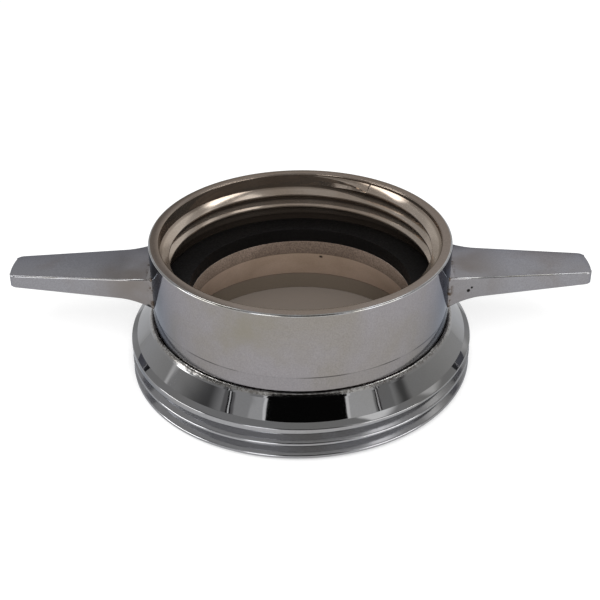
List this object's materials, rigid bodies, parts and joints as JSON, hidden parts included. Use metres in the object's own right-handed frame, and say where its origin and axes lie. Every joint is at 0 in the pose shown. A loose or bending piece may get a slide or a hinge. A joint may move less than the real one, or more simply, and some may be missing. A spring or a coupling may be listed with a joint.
{
  "type": "fire hose adapter",
  "caption": "Fire hose adapter: a swivel collar with two long handles and a female thread turns on a flanged body with a male thread.",
  "frame": {"origin": "on the waterway's axis, in the plane of the male end's face", "axes": "+Z along the waterway towards the female mouth, +X along the handles"},
  "size_m": [0.2664, 0.159, 0.0643],
  "materials": {
    "body_chrome": "polished chrome plate over machined brass",
    "collar_chrome": "satin chrome plate over cast brass",
    "gasket_rubber": "matte black",
    "ball_steel": "polished",
    "plug_steel": "plain"
  },
  "bodies": {
    "body": {"adapter_body": "body_chrome", "race_balls": "ball_steel"},
    "collar": {"swivel_collar": "collar_chrome", "gasket": "gasket_rubber", "ball_plug": "plug_steel"}
  },
  "joints": [
    {"name": "collar_swivel", "type": "hinge", "parent": "body", "child": "collar", "pos_m": [0, 0, 0.02975], "axis": [0, 0, 1], "continuous": true}
  ]
}
